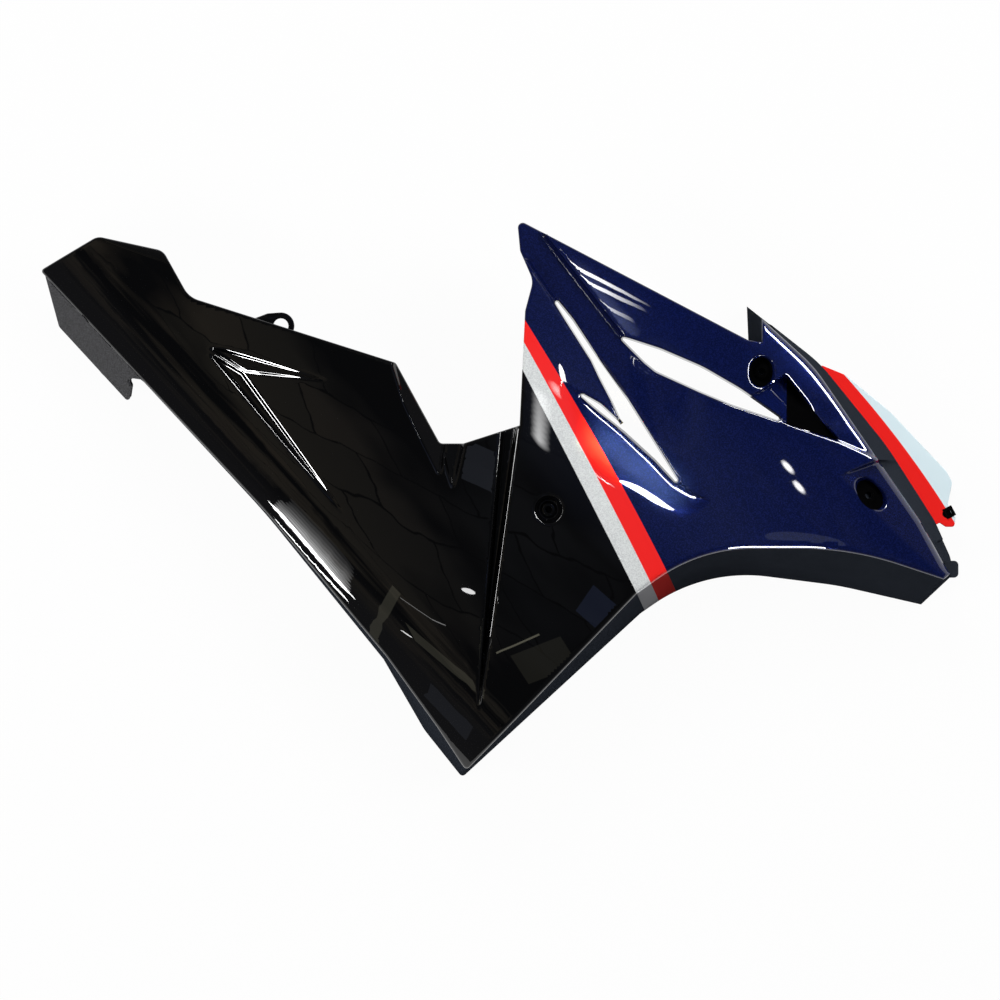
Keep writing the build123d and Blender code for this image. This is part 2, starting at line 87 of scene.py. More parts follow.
def rounded(points, radii, counts=None, step=2.0):
    """Points along a rounded outline; counts keep a second outline in step with a first."""
    points = np.array(points, float)
    total = len(points)
    corners = []
    for index in range(total):
        into = points[index] - points[index - 1]
        out = points[(index + 1) % total] - points[index]
        into = into / np.linalg.norm(into)
        out = out / np.linalg.norm(out)
        turn = math.atan2(into[0] * out[1] - into[1] * out[0], into @ out)
        back = radii[index] * math.tan(abs(turn) / 2)
        corners.append((points[index] - into * back, points[index] + out * back, into, turn))
    if counts is None:
        counts = []
        for index in range(total):
            run = np.linalg.norm(corners[(index + 1) % total][0] - corners[index][1])
            bend = radii[index] * abs(corners[index][3])
            arc = max(3, math.ceil(bend / (0.7 * step))) if radii[index] else 0
            counts.append((arc, max(1, math.ceil(run / step))))
    line = []
    owner = []
    for index, (arc, straight) in enumerate(counts):
        start, end, into, turn = corners[index]
        side = np.array([-into[1], into[0]]) * math.copysign(radii[index], turn)
        for share in np.linspace(0, 1, arc + 1):
            cosine = math.cos(turn * share)
            sine = math.sin(turn * share)
            line.append(start + side - np.array([[cosine, -sine], [sine, cosine]]) @ side)
            owner.append(index)
        following = corners[(index + 1) % total][0]
        for share in np.arange(1, straight) / straight:
            line.append(end + (following - end) * share)
            owner.append(index)
    return np.array(line), np.array(owner), counts


edge_radii = [corner[2] for corner in OUTLINE]
edge_line, edge_owner, edge_counts = rounded([corner[:2] for corner in OUTLINE], edge_radii)
foot_line = rounded([corner[3:] or corner[:2] for corner in OUTLINE], edge_radii, edge_counts)[0]
print("points round the face", len(edge_line))

# %% [markdown]
# ## Crown of the face
# The face is a long barrel: it bends gently along its length, more across it, and rolls over at the belly.
# The same radii as in the CAD model are used here, so the sheet is smooth where the CAD facets are flat.

# %% Crown height
HEADING = math.radians(-47.5)
ALONG_RADIUS = 2600.0
ACROSS_RADIUS = 900.0
BELLY_RADIUS = 130.0
BELLY_START = 160.0
CREST = 12.0
FLOOR = -125.0


def crown(x, y, depth=0.0):
    """Height over plan points of the crown, or of what lies at a depth below it."""
    u = math.cos(HEADING) * x + math.sin(HEADING) * y
    v = -math.sin(HEADING) * x + math.cos(HEADING) * y
    turn = math.asin(BELLY_START / ACROSS_RADIUS)
    face = np.sqrt((ACROSS_RADIUS - depth) ** 2 - v**2) - ACROSS_RADIUS
    far = ACROSS_RADIUS - BELLY_RADIUS
    room = np.maximum((BELLY_RADIUS - depth) ** 2 - (v + math.sin(turn) * far) ** 2, 0)
    belly = math.cos(turn) * far - ACROSS_RADIUS + np.sqrt(room)
    rise = np.where(v < -math.sin(turn) * (ACROSS_RADIUS - depth), belly, face)
    return np.sqrt((ALONG_RADIUS + rise) ** 2 - u**2) - ALONG_RADIUS + CREST


print("crown at the main bolt", round(float(crown(np.array(0.0), np.array(0.0))), 2))

# %% [markdown]
# ## Depth of the moulded features
# Arrow-shaped indents, grooves, bolt recesses and the vent channel are sunk into the face. Each could be
# modelled again, but the CAD model already holds them, so rays are dropped on it, two to the millimetre.
# What lies a facet's depth below the crown counts as the plain crown.

# %% Drop rays on the CAD panel
GRID = 0.5
RAY_START = 0.1
DEEPEST = 40.0
FACET_DEPTH = 0.25
grid_x = np.arange(-514.0, 418.0, GRID)
grid_y = np.arange(-276.0, 298.0, GRID)


def inside_grid(line):
    """Mask of the grid points inside a closed line."""
    mask = np.zeros((len(grid_y), len(grid_x)), bool)
    following = np.roll(line, -1, axis=0)
    for row, y in enumerate(grid_y + 0.0007):
        crossed = (line[:, 1] <= y) != (following[:, 1] <= y)
        a = line[crossed]
        b = following[crossed]
        hits = np.sort(a[:, 0] + (y - a[:, 1]) / (b[:, 1] - a[:, 1]) * (b[:, 0] - a[:, 0]))
        mask[row] = np.searchsorted(hits, grid_x) % 2 == 1
    return mask


face_mask = inside_grid(edge_line)
tree = BVHTree.FromObject(frame["nodes"]["main_panel"], bpy.context.evaluated_depsgraph_get())
plan_x, plan_y = np.meshgrid(grid_x, grid_y)
height = np.full(plan_x.shape, np.nan)
for row, column in np.argwhere(face_mask):
    spot = tree.ray_cast(Vector((grid_x[column] * MM, grid_y[row] * MM, RAY_START)), Vector((0, 0, -1)))[0]
    if spot is not None:
        height[row, column] = spot.z / MM
sunk = crown(plan_x, plan_y) - height
known = np.isfinite(sunk) & (sunk < DEEPEST)
sunk = np.where(known, np.sign(sunk) * np.maximum(np.abs(sunk) - FACET_DEPTH, 0), 0)
print("rays", int(face_mask.sum()))

# %% [markdown]
# ## Soft creases
# A moulding tool rounds every crease. Each edge could be bevelled, but a small blur of the depth rounds
# them all at once. Two borders that fade out on the real panel are blurred more.

# %% Blur the depth
CREASE_BLUR = 0.95
LEAST_WEIGHT = 0.02
SOFT_LINES = [([(114, 132), (128, 90), (141, 30)], 48.0, 13.0), ([(278, 101), (322, 100)], 30.0, 9.0)]


def blurred(grid, sigma):
    """Gaussian blur of a grid by so many millimetres."""
    reach = math.ceil(3 * sigma / GRID)
    taps = np.arange(-reach, reach + 1)
    weights = np.exp(-0.5 * (taps * GRID / sigma) ** 2)
    for axis in (0, 1):
        grid = sum(w * np.roll(grid, int(t), axis) for t, w in zip(taps, weights / weights.sum()))
    return grid


def softened_depth(sigma):
    """Depth below the crown with its creases rounded."""
    return blurred(sunk, sigma) / np.maximum(blurred(known.astype(float), sigma), LEAST_WEIGHT)


def line_distance(line, x=plan_x, y=plan_y):
    """Distance of grid points from an open line, and their side of it: 1 is right."""
    found = np.full(x.shape, 1e6)
    side = np.zeros(x.shape)
    for (ax, ay), (bx, by) in zip(line, line[1:]):
        length = math.hypot(bx - ax, by - ay)
        run = np.array([bx - ax, by - ay]) / length
        way = np.clip((x - ax) * run[0] + (y - ay) * run[1], 0, length)
        gap = np.hypot(x - ax - way * run[0], y - ay - way * run[1])
        turn = (x - ax) * run[1] - (y - ay) * run[0]
        side = np.where(gap < found, np.sign(turn), side)
        found = np.minimum(gap, found)
    return found, side


def eased_share(value):
    """Share from 0 to 1 that eases in and out."""
    value = np.clip(value, 0, 1)
    return value * value * (3 - 2 * value)


depth_grid = softened_depth(CREASE_BLUR)
for line, reach, sigma in SOFT_LINES:
    share = eased_share(1.5 * (1 - line_distance(line)[0] / reach))
    depth_grid = depth_grid * (1 - share) + softened_depth(sigma) * share
print("deepest feature", round(float(depth_grid.max()), 1))

# %% [markdown]
# ## Lip under the vent
# Below the slits the panel swells into a soft lip, with one bend at its left end and two at its right. It
# could be a patch of its own, but its depth is easily drawn between two lines: most at the slit and none at
# its foot, where the long highlight lies.

# %% Draw the lip
LIP_TOP = [(12, 131), (26.5, 119), (51.5, 98), (76.5, 78), (106.5, 50.5), (135.5, 18.5), (163.5, 6.5)]
LIP_FOOT = [
    (12, 131), (18, 95), (33, 56), (49, 37), (62, 28), (89, 16), (109, 3), (132, -7), (150, -4), (163.5, 6.5),
]
LIP_ZONE = [
    (2, 146), (30, 123), (55, 102), (80, 82), (110, 55), (139, 22), (172, 4), (158, -14), (128, -16), (80, 8),
    (46, 24), (20, 60), (-4, 104),
]
TONGUE_ZONE = [(2, 146), (30, 136), (60, 104), (26.5, 119), (10, 131)]
LIP_RUN = (0.7355, -0.678)
LIP_PLACES = [-75, -61, -30, 15, 70, 95, 114]
LIP_DEEP = [0, 1.5, 5.5, 10, 10, 6, 0]
LIP_SWELL = 1.6
LIP_BEND = 0.17
BEND_START = -15.0
BEND_LENGTH = 30.0
LIP_BLUR = 1.1
LIP_OVERLAP = 1.5


def cut_corners(points):
    """Open line with its corners cut, round after round."""
    line = np.array(points, float)
    for _ in range(3):
        near = 0.75 * line[:-1] + 0.25 * line[1:]
        far = 0.25 * line[:-1] + 0.75 * line[1:]
        line = np.concatenate([line[:1], np.stack([near, far], axis=1).reshape(-1, 2), line[-1:]])
    return line


columns = slice(*np.searchsorted(grid_x, [-20, 185]))
rows = slice(*np.searchsorted(grid_y, [-30, 155]))
near_x = plan_x[rows, columns]
near_y = plan_y[rows, columns]
top_gap, top_side = line_distance(cut_corners(LIP_TOP), near_x, near_y)
foot_gap, foot_side = line_distance(cut_corners(LIP_FOOT), near_x, near_y)
share = top_gap / np.maximum(top_gap + foot_gap, 1e-6)
place = LIP_RUN[0] * near_x + LIP_RUN[1] * near_y
bent = eased_share((place - BEND_START) / BEND_LENGTH)
plain_lip = (1 - share) ** LIP_SWELL
bent_lip = 1 - share - LIP_BEND * np.sin(2 * math.pi * share)
lip_depth = np.interp(place, LIP_PLACES, LIP_DEEP) * (plain_lip * (1 - bent) + bent_lip * bent)
lip_depth = np.where((top_side > 0) & (foot_side < 0), lip_depth, 0)
lip_side = (top_side > 0).astype(float)
lip_depth = blurred(lip_depth, LIP_BLUR) / np.maximum(blurred(lip_side, LIP_BLUR), LEAST_WEIGHT)
in_zone = inside_grid(np.array(LIP_ZONE, float))[rows, columns] & ((top_side > 0) | (top_gap < LIP_OVERLAP))
depth_grid[rows, columns] = np.where(in_zone, lip_depth, depth_grid[rows, columns])
depth_grid[inside_grid(np.array(TONGUE_ZONE, float))] = 0
print("lip points", int(in_zone.sum()))


# %% Height of the face
def spline_weights(share):
    """Weights of a cubic B-spline between two grid points."""
    return [
        (1 - share) ** 3 / 6,
        (3 * share**3 - 6 * share**2 + 4) / 6,
        (-3 * share**3 + 3 * share**2 + 3 * share + 1) / 6,
        share**3 / 6,
    ]


def face_height(x, y):
    """Height of the painted face over plan points."""
    across = (x - grid_x[0]) / GRID
    up = (y - grid_y[0]) / GRID
    column = np.floor(across).astype(int)
    row = np.floor(up).astype(int)
    depth = np.zeros(len(x))
    for j, row_weight in enumerate(spline_weights(up - row)):
        for i, column_weight in enumerate(spline_weights(across - column)):
            depth += row_weight * column_weight * depth_grid[row + j - 1, column + i - 1]
    return crown(x, y) - depth


print("face at the main bolt", face_height(np.zeros(1), np.zeros(1)).round(2))

# %% [markdown]
# ## Net of points for a sheet
# A sheet is cut to its outline and its holes, and carries many small triangles at creases and few on the
# plain crown. Rows of points along every edge curl the sheet down in a small radius. The triangles come
# from a Delaunay net, because no grid of quads follows so many slanted edges.

# %% Net maker
ROLL = 2.2
ROWS = (0.1, 0.3, 0.55, 0.8, 1.0)
ROW_ROOM = 0.9
INNER_ROOM = 0.8


def directed(line, clockwise):
    """The line, turned round where it runs the wrong way."""
    following = np.roll(line, -1, axis=0)
    area = np.sum(line[:, 0] * following[:, 1] - following[:, 0] * line[:, 1])
    return line if (area < 0) == clockwise else line[::-1]


def right_hand(line):
    """Unit vectors to the right of a closed line."""
    run = np.roll(line, -1, axis=0) - np.roll(line, 1, axis=0)
    run = run / np.linalg.norm(run, axis=1)[:, None]
    return np.stack([run[:, 1], -run[:, 0]], axis=1)


def inside_points(line, points):
    """Whether each point lies inside a closed line."""
    following = np.roll(line, -1, axis=0)
    crossed = (line[:, 1][None] <= points[:, 1:]) != (following[:, 1][None] <= points[:, 1:])
    rise = following[:, 1] - line[:, 1]
    rise = np.where(rise == 0, 1e-9, rise)
    reach = line[:, 0] + (points[:, 1:] - line[:, 1]) / rise * (following[:, 0] - line[:, 0])
    return np.sum(crossed & (points[:, :1] < reach), axis=1) % 2 == 1


def on_sheet(lines, points):
    """Whether each point lies inside the first line and outside the others."""
    kept = inside_points(lines[0], points)
    for hole in lines[1:]:
        kept &= ~inside_points(hole, points)
    return kept


def nearest(points, others):
    """Distance of each point from the nearest other, and which that is."""
    finder = KDTree(len(others))
    for index, (x, y) in enumerate(others):
        finder.insert((x, y, 0), index)
    finder.balance()
    found = [finder.find((x, y, 0)) for x, y in points]
    return np.array([f[2] for f in found]), np.array([f[1] for f in found], int)


def net(lines, inner, rolls):
    """Plan points of a sheet, how far its edge roll lowers each, and its triangles."""
    borders = np.concatenate(lines)
    rolls = np.concatenate([np.broadcast_to(roll, len(line)) for roll, line in zip(rolls, lines)])
    inward = np.concatenate([right_hand(line) for line in lines])
    plan = [borders]
    drop = [rolls]
    for share in ROWS:
        row = borders + inward * (share * rolls)[:, None]
        fits = on_sheet(lines, row) & (nearest(row, borders)[0] > ROW_ROOM * share * rolls)
        plan.append(row[fits])
        drop.append((rolls * (1 - math.sqrt(1 - (1 - share) ** 2)))[fits])
    inner = inner[on_sheet(lines, inner)]
    gaps, owners = nearest(inner, borders)
    inner = inner[gaps > rolls[owners] + INNER_ROOM]
    plan.append(inner)
    drop.append(np.zeros(len(inner)))
    plan = np.concatenate(plan)
    drop = np.concatenate(drop)
    ties = []
    start = 0
    for line in lines:
        count = len(line)
        ties += [(start + index, start + (index + 1) % count) for index in range(count)]
        start += count
    made = delaunay_2d_cdt([Vector(point) for point in plan], ties, [], 0, 1e-6)
    origin = np.array([source[0] if source else -1 for source in made[3]])
    triangles = np.array(made[2])
    corners = origin[triangles]
    doubtful = (corners < len(borders)).all(axis=1)
    middles = np.array([[v[0], v[1]] for v in made[0]])[triangles].mean(axis=1)
    keep = ~doubtful
    keep[doubtful] = on_sheet(lines, middles[doubtful])
    return plan, drop, corners[keep & (corners >= 0).all(axis=1)]


slit_line, slit_owner, _ = rounded(VENT_SLIT, SLIT_RADII, step=1.8)
slit_line = directed(slit_line, False)
slit_owner = slit_owner[::-1]
leaf_line = directed(rounded(UPPER_SLIT, LEAF_RADII, step=1.8)[0], False)
print("points round the slits", len(slit_line), len(leaf_line))

# %% [markdown]
# ## The moulded shell
# The face, its rolled edges, the flanges and the lips of the slits are one moulding, so they are one mesh.
# The flanges are strips from the rolled edge to their foot. Solidify then gives the whole sheet the wall of
# a real moulding. The shell stands for the CAD panel, which would show its flat facets through the rounded
# edges.

# %% Points of the shell
BOLT_RADIUS = 3.3
LIP_LEAN = 1.6


def ring(count):
    """Points round a circle of radius 1."""
    angles = np.linspace(0, 2 * math.pi, count, endpoint=False)
    return np.stack([np.cos(angles), np.sin(angles)], axis=1)


slit_lines = [line + right_hand(line) * LIP_LEAN for line in (slit_line, leaf_line)]
bolt_lines = [mounts[name][:2] + ring(20) * BOLT_RADIUS for name in ("main_bolt", "upper_bolt", "front_bolt")]
face_lines = [edge_line] + slit_lines + bolt_lines


def spread(mask, reach):
    """Mask grown by a reach in grid steps."""
    for axis in (0, 1):
        grown = mask.copy()
        for shift in range(-reach, reach + 1):
            grown |= np.roll(mask, shift, axis)
        mask = grown
    return mask


def along(line, offsets, step, closed=True):
    """Points beside a line, in rows at some offsets from it."""
    line = np.array(line, float)
    rows = []
    following = np.roll(line, -1, axis=0) if closed else line[1:]
    for a, b in zip(line, following):
        length = np.linalg.norm(b - a)
        run = (b - a) / length
        shares = (np.arange(math.ceil(length / step)) + 0.5) / math.ceil(length / step)
        for offset in offsets:
            rows.append(a + np.outer(shares * length, run) + offset * np.array([run[1], -run[0]]))
    return np.concatenate(rows)


def thinned(points, gap):
    """The points without those too near to an earlier one."""
    kept = {}
    for point in points:
        column = int(point[0] // gap)
        row = int(point[1] // gap)
        near = [kept.get((column + i, row + j)) for i in (-1, 0, 1) for j in (-1, 0, 1)]
        if all(other is None or np.hypot(*(point - other)) >= gap for other in near):
            kept[column, row] = point
    return np.array(list(kept.values()))


CREASES = [
    [(-45, 296), (-11.5, 284), (75.5, 171.5), (118, 134), (141, 30), (-1.5, 221), (-20, 248), (-45, 260)],
    [(134.5, 19.5), (163.5, 6.5)],
    [(201.5, 112.5), (237.5, 134.5), (290.5, 68.5), (239.5, 85.5)],
    [(289.5, 68.5), (266, 100), (318, 100), (352, 58), (331, 50)],
    [(290, 33), (332.5, 49.5), (356, 52), (418, -62), (400, -80)],
    [(-337.5, 161), (-325.5, 159.5), (-218.5, 128.5), (-302.5, 138)],
    [(-337.5, 155), (-306.5, 136.5), (-201.5, -8.5)],
    [(-45.5, 88), (-31, 88), (-70.5, -202.5)],
    [(-109.5, 73.5), (-83.5, 73.5), (-95.5, 19.5)],
    [(-155, 145.5), (-144.5, 152), (-103, 76), (-106.5, 43.5), (-109.5, 33.5), (-128.5, 63.5),
     (-142.5, 100.5)],
    [(-444.5, 269.5), (-444.5, 281), (-366, 268), (-368, 232), (-377.5, 233.5), (-388.5, 248.5)],
]
CREASE_OFFSETS = (0, -0.9, 0.9, -1.8, 1.8, -2.7, 2.7)
CREASE_STEP = 1.7
RIM_RADII = np.arange(8.4, 16.0, 0.8)
LEAST_GAP = 0.75
crease_points = [along(line, CREASE_OFFSETS, CREASE_STEP, len(line) > 2) for line in CREASES]
rim_points = [ring(60) * radius for radius in RIM_RADII]
crease_points = thinned(np.concatenate(rim_points + crease_points), LEAST_GAP)
print("crease points", len(crease_points))

# %% Points between the creases
SHARP_BEND = 0.012
FINEST = 1.5
CREASE_ROOM = 1.2
slope_y, slope_x = np.gradient(depth_grid, GRID)
bend_yy, bend_xy = np.gradient(slope_y, GRID)
bend_xx = np.gradient(slope_x, GRID, axis=1)
creases = face_mask & (np.sqrt(bend_xx**2 + 2 * bend_xy**2 + bend_yy**2) > SHARP_BEND)
rims = spread(face_mask, 2) & spread(~face_mask, 2)
middle_band = spread(creases, 8) | spread(rims, 10)
wide_band = spread(creases, 24) | spread(rims, 28)
inner_points = []
finer = np.zeros(face_mask.shape, bool)
for level, band in enumerate([spread(creases, 2), middle_band, wide_band, face_mask]):
    spacing = FINEST * 2**level
    dots = [np.arange(steps[0], steps[-1], spacing) for steps in (grid_x, grid_y)]
    dots_x, dots_y = np.meshgrid(*dots)
    columns = np.round((dots_x - grid_x[0]) / GRID).astype(int)
    rows = np.round((dots_y - grid_y[0]) / GRID).astype(int)
    wanted = (band & ~finer & face_mask)[rows, columns]
    inner_points.append(np.stack([dots_x[wanted], dots_y[wanted]], axis=1))
    finer |= band
inner_points = np.concatenate(inner_points)
inner_points = inner_points[nearest(inner_points, crease_points)[0] > CREASE_ROOM]
inner_points = np.concatenate([crease_points, inner_points])
print("points between the edges", len(inner_points))

# %% Net of the face
ARCH_ROLL = 4.5
FRONT_ROLL = 7.0
VENT_LIP_ROLL = 5.0
BOLT_ROLL = 0.6
FRONT_CORNERS = (14, 18)
ROLLED_CORNERS = (14, 23)
VENT_LIP_CORNERS = (5, 8)


def owned(owner, corners):
    """Mask of the points that belong to a run of corners."""
    return (owner >= corners[0]) & (owner <= corners[1])


def eased(rolls, reach):
    """Roll radii averaged over so many neighbours on each side."""
    return sum(np.roll(rolls, shift) for shift in range(-reach, reach + 1)) / (2 * reach + 1)


edge_rolls = np.where(owned(edge_owner, ROLLED_CORNERS), ARCH_ROLL, ROLL)
edge_rolls = eased(np.where(owned(edge_owner, FRONT_CORNERS), FRONT_ROLL, edge_rolls), 6)
slit_rolls = eased(np.where(owned(slit_owner, VENT_LIP_CORNERS), VENT_LIP_ROLL, ROLL), 8)
face_rolls = [edge_rolls, slit_rolls, ROLL] + [BOLT_ROLL] * 3
face_plan, face_drop, face_triangles = net(face_lines, inner_points, face_rolls)
face_z = face_height(face_plan[:, 0], face_plan[:, 1]) - face_drop
print("face points", len(face_plan), "triangles", len(face_triangles))

# %% Flanges and lips
LIP_DEPTH = 16.0
SLIT_LIP_DEPTH = 22.0
LEAST_LIP = 3.0
FRONT_FLANGE_DEPTH = 45.0
BOLT_HOLE_DEPTH = 6.0
PAINT = 0
RAW = 1
FOOT_ROOM = 1.0
RAW_FROM = 12
TAIL_SIDE = 27
TAIL_END_X = -405.0
FRONT_TOP_X = 228.0
FRONT_LOW_Y = -34.0
low_z = np.full(len(edge_line), FLOOR + FOOT_ROOM)
tall_crown = crown(edge_line[:, 0], edge_line[:, 1])
raw_edge = edge_owner >= RAW_FROM
shallow_edge = ~raw_edge | ((edge_owner == TAIL_SIDE) & (edge_line[:, 0] < TAIL_END_X))
front_edge = owned(edge_owner, FRONT_CORNERS)
front_edge &= (edge_line[:, 0] > FRONT_TOP_X) & (edge_line[:, 1] > FRONT_LOW_Y)
low_z[shallow_edge] = tall_crown[shallow_edge] - LIP_DEPTH
low_z[front_edge] = tall_crown[front_edge] - FRONT_FLANGE_DEPTH

shell_points = [np.column_stack([face_plan, face_z])]
shell_faces = face_triangles.tolist()
shell_slots = [PAINT] * len(shell_faces)


def hang(top_index, top, low, shares, slots):
    """Strip of quads from a closed row of the shell's points to a lower row."""
    count = len(top)
    above = list(top_index)
    for share in shares:
        base = sum(len(block) for block in shell_points)
        shell_points.append(top + (low - top) * share)
        below = list(range(base, base + count))
        for index in range(count):
            following = (index + 1) % count
            shell_faces.append((above[index], above[following], below[following], below[index]))
            shell_slots.append(int(slots[index]))
        above = below


start = 0
for number, line in enumerate(face_lines):
    index = range(start, start + len(line))
    top = shell_points[0][start : start + len(line)]
    if number == 0:
        foot = np.column_stack([foot_line, low_z])
        hang(index, top, foot, (0.05, 0.3, 0.65, 1.0), np.where(raw_edge, RAW, PAINT))
    elif number < 3:
        bare = (slit_line, leaf_line)[number - 1]
        lip = np.minimum(crown(line[:, 0], line[:, 1]) - SLIT_LIP_DEPTH, top[:, 2] - LEAST_LIP)
        hang(index, top, np.column_stack([bare, lip]), (0.4, 1.0), np.full(len(line), PAINT))
    else:
        # Each bolt hole gets a short raw wall, closed by a dark disc at its foot: a sheet that stands for the
        # shade seen down the hole.
        hang(index, top, top - (0, 0, BOLT_HOLE_DEPTH), (1.0,), np.full(len(line), RAW))
        last = sum(len(block) for block in shell_points)
        shell_faces.append(tuple(range(last - len(line), last)))
        shell_slots.append(RAW)
    start += len(line)
print("shell faces", len(shell_faces))


# %% Make the shell
def choose(piece):
    """Selects one object alone."""
    bpy.ops.object.select_all(action="DESELECT")
    piece.select_set(True)
    bpy.context.view_layer.objects.active = piece


def finished(piece, kind, **settings):
    """Adds a modifier to a piece and applies it."""
    choose(piece)
    modifier = piece.modifiers.new(kind.lower(), kind)
    for name, value in settings.items():
        setattr(modifier, name, value)
    bpy.ops.object.modifier_apply(modifier=modifier.name)


def sheet_object(name, points, faces, slots, wall):
    """Mesh object of a sheet with a wall."""
    mesh = bpy.data.meshes.new(name)
    mesh.from_pydata((np.array(points) * MM).tolist(), [], faces)
    mesh.polygons.foreach_set("material_index", np.array(slots, np.int32))
    mesh.update()
    piece = bpy.data.objects.new(name, mesh)
    bpy.context.scene.collection.objects.link(piece)
    for _ in range(max(slots) + 2):
        mesh.materials.append(None)
    finished(
        piece, "SOLIDIFY", thickness=wall * MM, offset=-1, use_quality_normals=True,
        material_offset=2, material_offset_rim=1,
    )
    bpy.ops.object.shade_smooth_by_angle(angle=math.radians(60))
    return piece


SHELL_WALL = 2.0
shell = sheet_object("painted_shell", np.concatenate(shell_points), shell_faces, shell_slots, SHELL_WALL)
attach(shell, "root")
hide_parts("main_panel")
print("shell triangles", sum(len(p.vertices) - 2 for p in shell.data.polygons))

# %% [markdown]
# ## Nose panel
# The red and white panel under the front flange is a thin moulding with a tab. It follows the same crown,
# one flange depth lower, so the same net maker lays a sheet there and Solidify gives it its wall.

# %% Make the nose panel
NOSE = [
    (274.5, 144.5), (298, 135), (343.5, 97.5), (399.5, 38.5), (405.5, 27.5), (401, 5.5),
    (408.5, -8.5), (407.5, -17.5), (398.5, -17.5), (392.5, -13.5), (362.5, -28), (249, 126),
]
NOSE_RADII = [2, 3, 60, 8, 8, 2, 2, 3, 3, 1, 5, 5]
NOSE_DEPTH = 45.1
NOSE_WALL = 2.5


def plate(name, line, holes, heights, wall, roll, spacing):
    """Thin moulded plate with rounded edges; heights gives its top over plan points."""
    lines = [directed(line, True)] + holes
    dots = np.meshgrid(*(np.arange(values.min(), values.max(), spacing) for values in line.T))
    inner = np.stack([dots[0].ravel(), dots[1].ravel()], axis=1)
    plan, drop, triangles = net(lines, inner, [roll] * len(lines))
    points = np.column_stack([plan, heights(plan[:, 0], plan[:, 1]) - drop])
    piece = sheet_object(name, points, triangles.tolist(), [PAINT] * len(triangles), wall)
    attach(piece, "root")
    print(name, "triangles", len(triangles))
    return piece


def nose_level(x, y):
    """Height of the nose panel over plan points."""
    return crown(x, y, NOSE_DEPTH)


nose_line = rounded(NOSE, NOSE_RADII)[0]
nose = plate("nose_sheet", nose_line, [], nose_level, NOSE_WALL, 1.0, 5.0)
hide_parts("nose_panel")

# %% [markdown]
# ## Tail flange and lugs
# At the tail a raw plate slopes away from the belly edge, and two lugs stand out of the edges, the rear one
# with a hole. They could be part of the shell, but as flat plates of their own they keep clean edges.

# %% Make the plates
TAIL_FLANGE = [
    (-403.5, 129.5), (-421.0, 132.0), (-417.5, 123.5), (-420.5, 106.5), (-491.5, 183.5), (-505.5, 238.0),
]
TAIL_RADII = [0, 3, 2, 3, 8, 0]
TAIL_DROP = 1.5
TAIL_FOOT = 4
TAIL_WALL = 3.0
LUG_WALL = 4.0
LUG_RADIUS = 13.5
LUG_HOLE = 7.5
REAR_ROOT = [(-293.0, 191.5), (-281.0, 196.0), (-282.0, 173.0), (-295.0, 180.0)]
FRONT_LUG = [(396.6, -51.3), (410.6, -51.3), (410.6, -68.3), (396.6, -68.3)]
FRONT_RADII = [2, 4.5, 4.5, 2]


def tail_slope(x, y):
    """Height of the tail flange, from two points on the belly edge and one on the ground."""
    ends = np.array([TAIL_FLANGE[0], TAIL_FLANGE[-1]])
    tops = crown(ends[:, 0], ends[:, 1]) - TAIL_DROP
    rows = [(*ends[0], 1), (*ends[1], 1), (*TAIL_FLANGE[TAIL_FOOT], 1)]
    slope = np.linalg.solve(np.array(rows), np.array([*tops, FLOOR + LUG_WALL]))
    return np.maximum(slope[0] * x + slope[1] * y + slope[2], FLOOR + LUG_WALL)


def lug(name, line, holes, roll, spacing):
    """Flat lug at the height of the mount of the same name."""
    level = mounts[name][2]
    return plate(name, line, holes, lambda x, y: np.full(len(x), level), LUG_WALL, roll, spacing)


tail_flange = plate("tail_flange", rounded(TAIL_FLANGE, TAIL_RADII)[0], [], tail_slope, TAIL_WALL, 0.8, 6.0)
turn = np.radians(np.linspace(97, -97, 30))
rear_ring = mounts["rear_lug"][:2] + LUG_RADIUS * np.stack([np.cos(turn), np.sin(turn)], axis=1)
rear_line = np.concatenate([REAR_ROOT[:2], rear_ring, REAR_ROOT[2:]])
rear_hole = mounts["rear_lug"][:2] + LUG_HOLE * ring(20)
rear_lug = lug("rear_lug", rear_line, [rear_hole], 1.2, 4.0)
# The front lug is made without its hole: its dark plastic stands for the shade seen through it.
front_lug = lug("front_lug", rounded(FRONT_LUG, FRONT_RADII, step=1.2)[0], [], 1.0, 3.0)

# %% [markdown]
# ## Screws and clip nut
# The nose panel is held by three screws from behind, and a folded steel clip nut sits on its tab. Their CAD
# shapes are right, so each is a copy with its doubles merged and its edges broken by a small bevel.


# %% Break the edges of the small fasteners
def softened(name, node, width):
    """Copy of a CAD node with its edges bevelled."""
    piece = bpy.data.objects.new(name, frame["nodes"][node].data.copy())
    bpy.context.scene.collection.objects.link(piece)
    choose(piece)
    bpy.ops.object.mode_set(mode="EDIT")
    bpy.ops.mesh.select_all(action="SELECT")
    bpy.ops.mesh.remove_doubles(threshold=1e-6)
    bpy.ops.mesh.dissolve_limited(angle_limit=math.radians(1))
    bpy.ops.object.mode_set(mode="OBJECT")
    finished(piece, "BEVEL", width=width * MM, segments=2, limit_method="ANGLE", angle_limit=math.radians(40))
    bpy.ops.object.shade_smooth_by_angle(angle=math.radians(35))
    piece.data.materials.clear()
    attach(piece, "root")
    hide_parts(node)
    print(name, "faces", len(piece.data.polygons))
    return piece


screws = softened("self_tapping_screws", "nose_panel_screws", 0.3)
clip = softened("folded_clip_nut", "clip_nut", 0.2)

# %% [markdown]
# ## Writing shader sums
# Finishes are sums of a few values, such as the distance from a stripe. A small class wraps a socket, so
# such a sum is written as it is on paper and adds its own Math nodes.


# %% Socket class
def fill(node, values):
    """Links tones to a node's sockets and sets plain values on them."""
    for name, value in values.items():
        if isinstance(value, Tone):
            value.tree.links.new(value.socket, node.inputs[name])
        else:
            node.inputs[name].default_value = value


